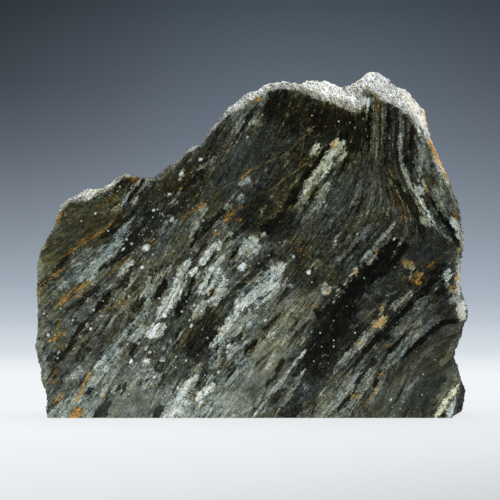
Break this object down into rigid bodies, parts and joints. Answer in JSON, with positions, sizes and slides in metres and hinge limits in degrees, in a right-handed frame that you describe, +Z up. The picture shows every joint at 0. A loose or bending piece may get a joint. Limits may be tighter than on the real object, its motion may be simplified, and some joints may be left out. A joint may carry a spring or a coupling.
{
  "type": "gneiss specimen",
  "caption": "Upright slab of banded gneiss with a sawn and polished front face, a sawn flat base and rough broken rock on its back and edges.",
  "frame": {"origin": "middle of the bounding box in plan, on the plane of the sawn base", "axes": "+X along the base, to the right when facing the polished face; +Y from the polished face to the broken back; +Z up"},
  "size_m": [0.2042, 0.052, 0.1629],
  "materials": {
    "gneiss": "polished on the front face, sawn on the base, rough and granular where the rock is broken"
  },
  "bodies": {
    "root": {"gneiss_slab": "gneiss"}
  },
  "joints": []
}
